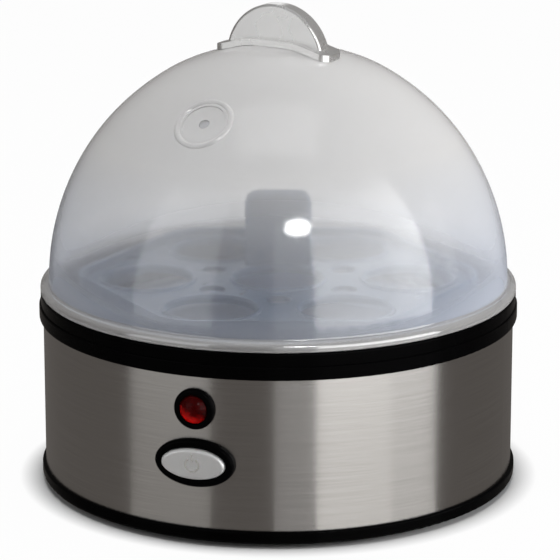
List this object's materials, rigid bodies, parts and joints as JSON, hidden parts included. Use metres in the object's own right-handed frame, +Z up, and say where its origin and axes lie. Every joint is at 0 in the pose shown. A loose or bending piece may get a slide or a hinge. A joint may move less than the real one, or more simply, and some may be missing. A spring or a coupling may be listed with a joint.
{
  "type": "electric egg cooker",
  "caption": "Round electric egg cooker with a clear domed lid, lift-out egg tray, brushed steel body, heated water pan and a sprung push button.",
  "frame": {"origin": "middle of the footprint at table level, under the rubber feet", "axes": "+Z up along the body's axis, -Y out of the front with the controls, +X to the right seen from the front"},
  "size_m": [0.1799, 0.1852, 0.1806],
  "materials": {
    "clear_lid": "moulded clear plastic with a milky tint, polished",
    "grey_handle": "moulded plastic with a satin silver coat",
    "smoked_tray": "translucent blue-grey moulded plastic",
    "black_plastic": "polished black moulded plastic",
    "brushed_band": "stainless sheet brushed round the body",
    "pan_steel": "pressed stainless sheet, bright",
    "black_rubber": "soft black rubber",
    "grey_silicone": "grey silicone",
    "zinc_screw": "bright zinc plating",
    "element_sheath": "dull drawn steel tube",
    "white_ceramic": "unglazed white ceramic",
    "thermostat_can": "drawn aluminium can",
    "phenolic": "dark phenolic moulding",
    "brass_tab": "stamped brass",
    "red_lens": "clear red plastic, polished",
    "lamp_glass": "clear glass tube",
    "silver_button": "satin silver finish",
    "ivory_plastic": "ivory moulded plastic",
    "brown_wire": "brown insulation",
    "blue_wire": "blue insulation",
    "white_wire": "white woven glass sleeve"
  },
  "bodies": {
    "housing": {"top_collar": "black_plastic", "steel_band": "brushed_band", "base_pan": "black_plastic", "rubber_feet": "black_rubber", "base_screws": "zinc_screw", "heating_plate": "pan_steel", "plate_gasket": "grey_silicone", "plate_clips": "pan_steel", "plate_screws": "zinc_screw", "heating_element": "element_sheath", "element_seals": "white_ceramic", "element_pins": "zinc_screw", "thermostat_cap": "thermostat_can", "thermostat_body": "phenolic", "thermostat_flange": "pan_steel", "thermostat_studs": "zinc_screw", "thermostat_nuts": "zinc_screw", "thermostat_tabs": "brass_tab", "thermal_fuse": "thermostat_can", "indicator_bezel": "black_plastic", "indicator_lens": "red_lens", "indicator_nut": "phenolic", "lamp_plug": "phenolic", "neon_lamp": "lamp_glass", "lamp_leads": "white_wire", "switch_bezel": "black_plastic", "switch_body": "phenolic", "button_spring": "zinc_screw", "switch_tabs": "brass_tab", "terminal_block": "ivory_plastic", "terminal_screws": "brass_tab", "terminal_block_screw": "zinc_screw", "live_wire": "brown_wire", "switched_wire": "white_wire", "fuse_wire": "white_wire", "element_wire": "white_wire", "neutral_wire": "blue_wire", "cord_gland": "black_rubber"},
    "egg_tray": {"egg_tray": "smoked_tray"},
    "lid": {"lid_dome": "clear_lid", "lid_handle": "grey_handle", "lid_handle_screws": "clear_lid"},
    "power_button": {"button_cap": "silver_button", "switch_plunger": "ivory_plastic"}
  },
  "joints": [
    {"name": "tray_lift", "type": "slide", "parent": "housing", "child": "egg_tray", "axis": [0, 0, 1], "range_m": [0, 0.08]},
    {"name": "lid_lift", "type": "slide", "parent": "egg_tray", "child": "lid", "axis": [0, 0, 1], "range_m": [0, 0.12]},
    {"name": "button_press", "type": "slide", "parent": "housing", "child": "power_button", "axis": [0, 1, 0], "range_m": [0, 0.003], "stiffness_N_per_m": 1000, "springref_m": -0.002, "deforming": ["button_spring"]}
  ]
}
